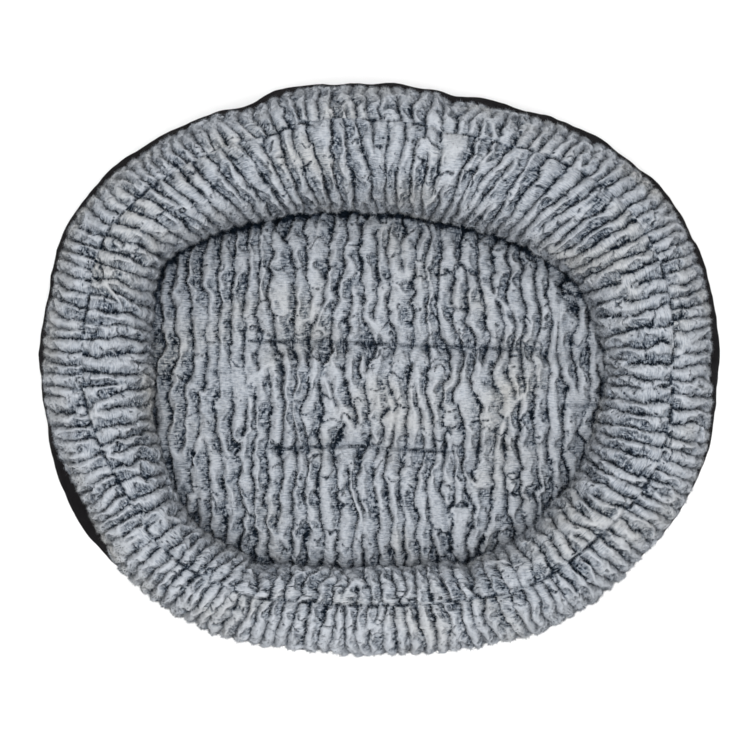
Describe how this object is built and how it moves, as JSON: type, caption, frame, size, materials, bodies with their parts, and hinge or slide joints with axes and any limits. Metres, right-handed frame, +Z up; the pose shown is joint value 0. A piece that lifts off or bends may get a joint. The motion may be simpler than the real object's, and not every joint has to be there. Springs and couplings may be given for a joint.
{
  "type": "pet bed",
  "caption": "Oval bolster pet bed: a stuffed roll of ribbed grey plush round a quilted cushion, with a low front, a dark fabric side band and a flat dark base.",
  "frame": {"origin": "on the floor under the middle of the bed's bounding box", "axes": "+X towards the bed's right seen from its low front, along its length; +Y towards its high back; +Z up"},
  "size_m": [0.633, 0.5306, 0.1678],
  "materials": {
    "ribbed_plush": "crinkled faux fur in grey ribs: pale cool-grey tips over near-black blue roots, matt",
    "dark_fabric": "plain woven warm black fabric, matt with a faint sheen",
    "seam_thread": "dark grey polyester sewing thread over turned-in edges",
    "fibre_fill": "white polyester fibre stuffing, loose and matt",
    "lining_cloth": "off-white non-woven lining, matt"
  },
  "bodies": {
    "root": {"base_panel": "dark_fabric", "base_seam": "seam_thread", "side_band": "dark_fabric", "band_seam": "seam_thread", "outer_cover": "ribbed_plush", "crest_seam": "seam_thread", "inner_cover": "ribbed_plush", "cushion_seam": "seam_thread", "cushion_lining": "lining_cloth", "cushion_fill": "fibre_fill", "cushion_cover": "ribbed_plush", "roll_fill_front": "fibre_fill", "roll_fill_right": "fibre_fill", "roll_fill_back": "fibre_fill", "roll_fill_left": "fibre_fill", "quilt_seam_front": "seam_thread", "quilt_seam_rear": "seam_thread"}
  },
  "joints": []
}
